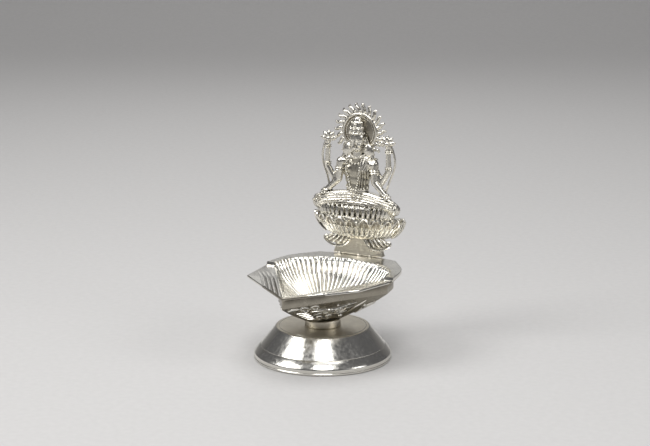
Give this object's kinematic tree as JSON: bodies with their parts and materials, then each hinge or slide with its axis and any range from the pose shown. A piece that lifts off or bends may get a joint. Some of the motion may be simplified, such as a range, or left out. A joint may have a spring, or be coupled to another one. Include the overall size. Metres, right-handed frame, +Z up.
{
  "type": "oil lamp",
  "caption": "Small silver-plated oil lamp: hollow conical foot, turning fluted spout bowl with flared wings, and a seated figure with halo on a lotus behind the rim.",
  "frame": {"origin": "on the lamp's centre axis at the level of the foot's lower edge, which is also the middle of the whole lamp in plan", "axes": "+Z up, -Y towards the spout tip, which the figure faces, +X to the right when the lamp is seen from the spout"},
  "size_m": [0.0516, 0.062, 0.0889],
  "materials": {
    "polished_plate": "polished silver plate on brass",
    "satin_plate": "satin silver plate on brass, darkened in the recesses",
    "steel": "plain steel hardware"
  },
  "bodies": {
    "foot": {"foot_shell": "polished_plate", "neck_ring": "satin_plate", "foot_washer": "steel"},
    "bowl": {"bowl": "polished_plate", "bowl_stud": "steel", "stud_nut": "steel", "figure_tab": "satin_plate", "drooping_leaves": "satin_plate", "lotus_seat": "satin_plate", "seated_figure": "satin_plate", "halo": "satin_plate"}
  },
  "joints": [
    {"name": "bowl_turn", "type": "hinge", "parent": "foot", "child": "bowl", "pos_m": [0, 0, 0.0147], "axis": [0, 0, 1], "continuous": true}
  ]
}
